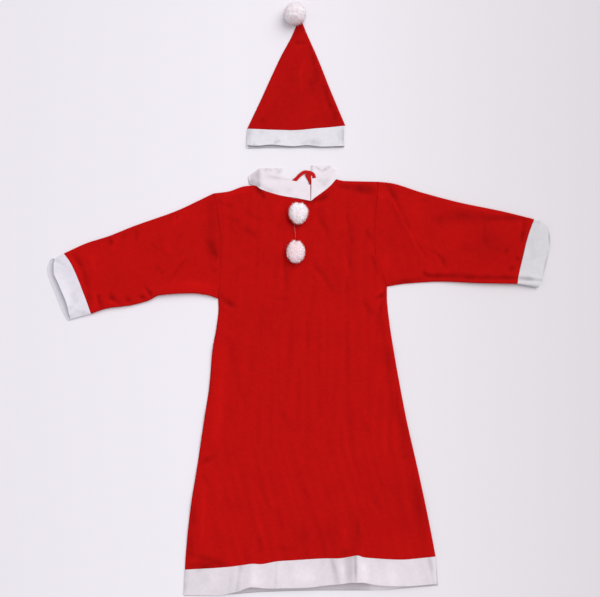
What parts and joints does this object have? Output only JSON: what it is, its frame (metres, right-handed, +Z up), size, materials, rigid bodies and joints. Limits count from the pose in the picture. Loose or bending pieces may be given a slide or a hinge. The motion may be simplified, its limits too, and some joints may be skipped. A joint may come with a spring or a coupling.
{
  "type": "santa suit laid flat",
  "caption": "Child's santa suit laid out flat: a red felt A-line gown with white trims and pompoms, and its cone hat above the neck.",
  "frame": {"origin": "the middle of the suit's outline on the surface it lies on", "axes": "+Y from the hem to the hat's tip, +X towards the sleeve on the right of the picture, +Z up from the surface"},
  "size_m": [1.3324, 1.5717, 0.0513],
  "materials": {
    "red_felt": "matte brushed felt, plain red",
    "white_felt": "matte felt, plain white",
    "red_ribbon": "narrow woven ribbon, slightly shiny",
    "white_fluff": "soft matte fluff"
  },
  "bodies": {
    "root": {"gown_front": "red_felt", "gown_back_left": "red_felt", "gown_back_right": "red_felt", "sleeve_left": "red_felt", "sleeve_right": "red_felt", "hat_front": "red_felt", "hat_back": "red_felt", "collar_left": "white_felt", "collar_right": "white_felt", "cuff_left": "white_felt", "cuff_right": "white_felt", "hem_band_front": "white_felt", "hem_band_back": "white_felt", "hat_band": "white_felt", "neck_ribbon": "red_ribbon", "pompom_upper": "white_fluff", "pompom_lower": "white_fluff", "hat_pompom": "white_fluff"}
  },
  "joints": []
}
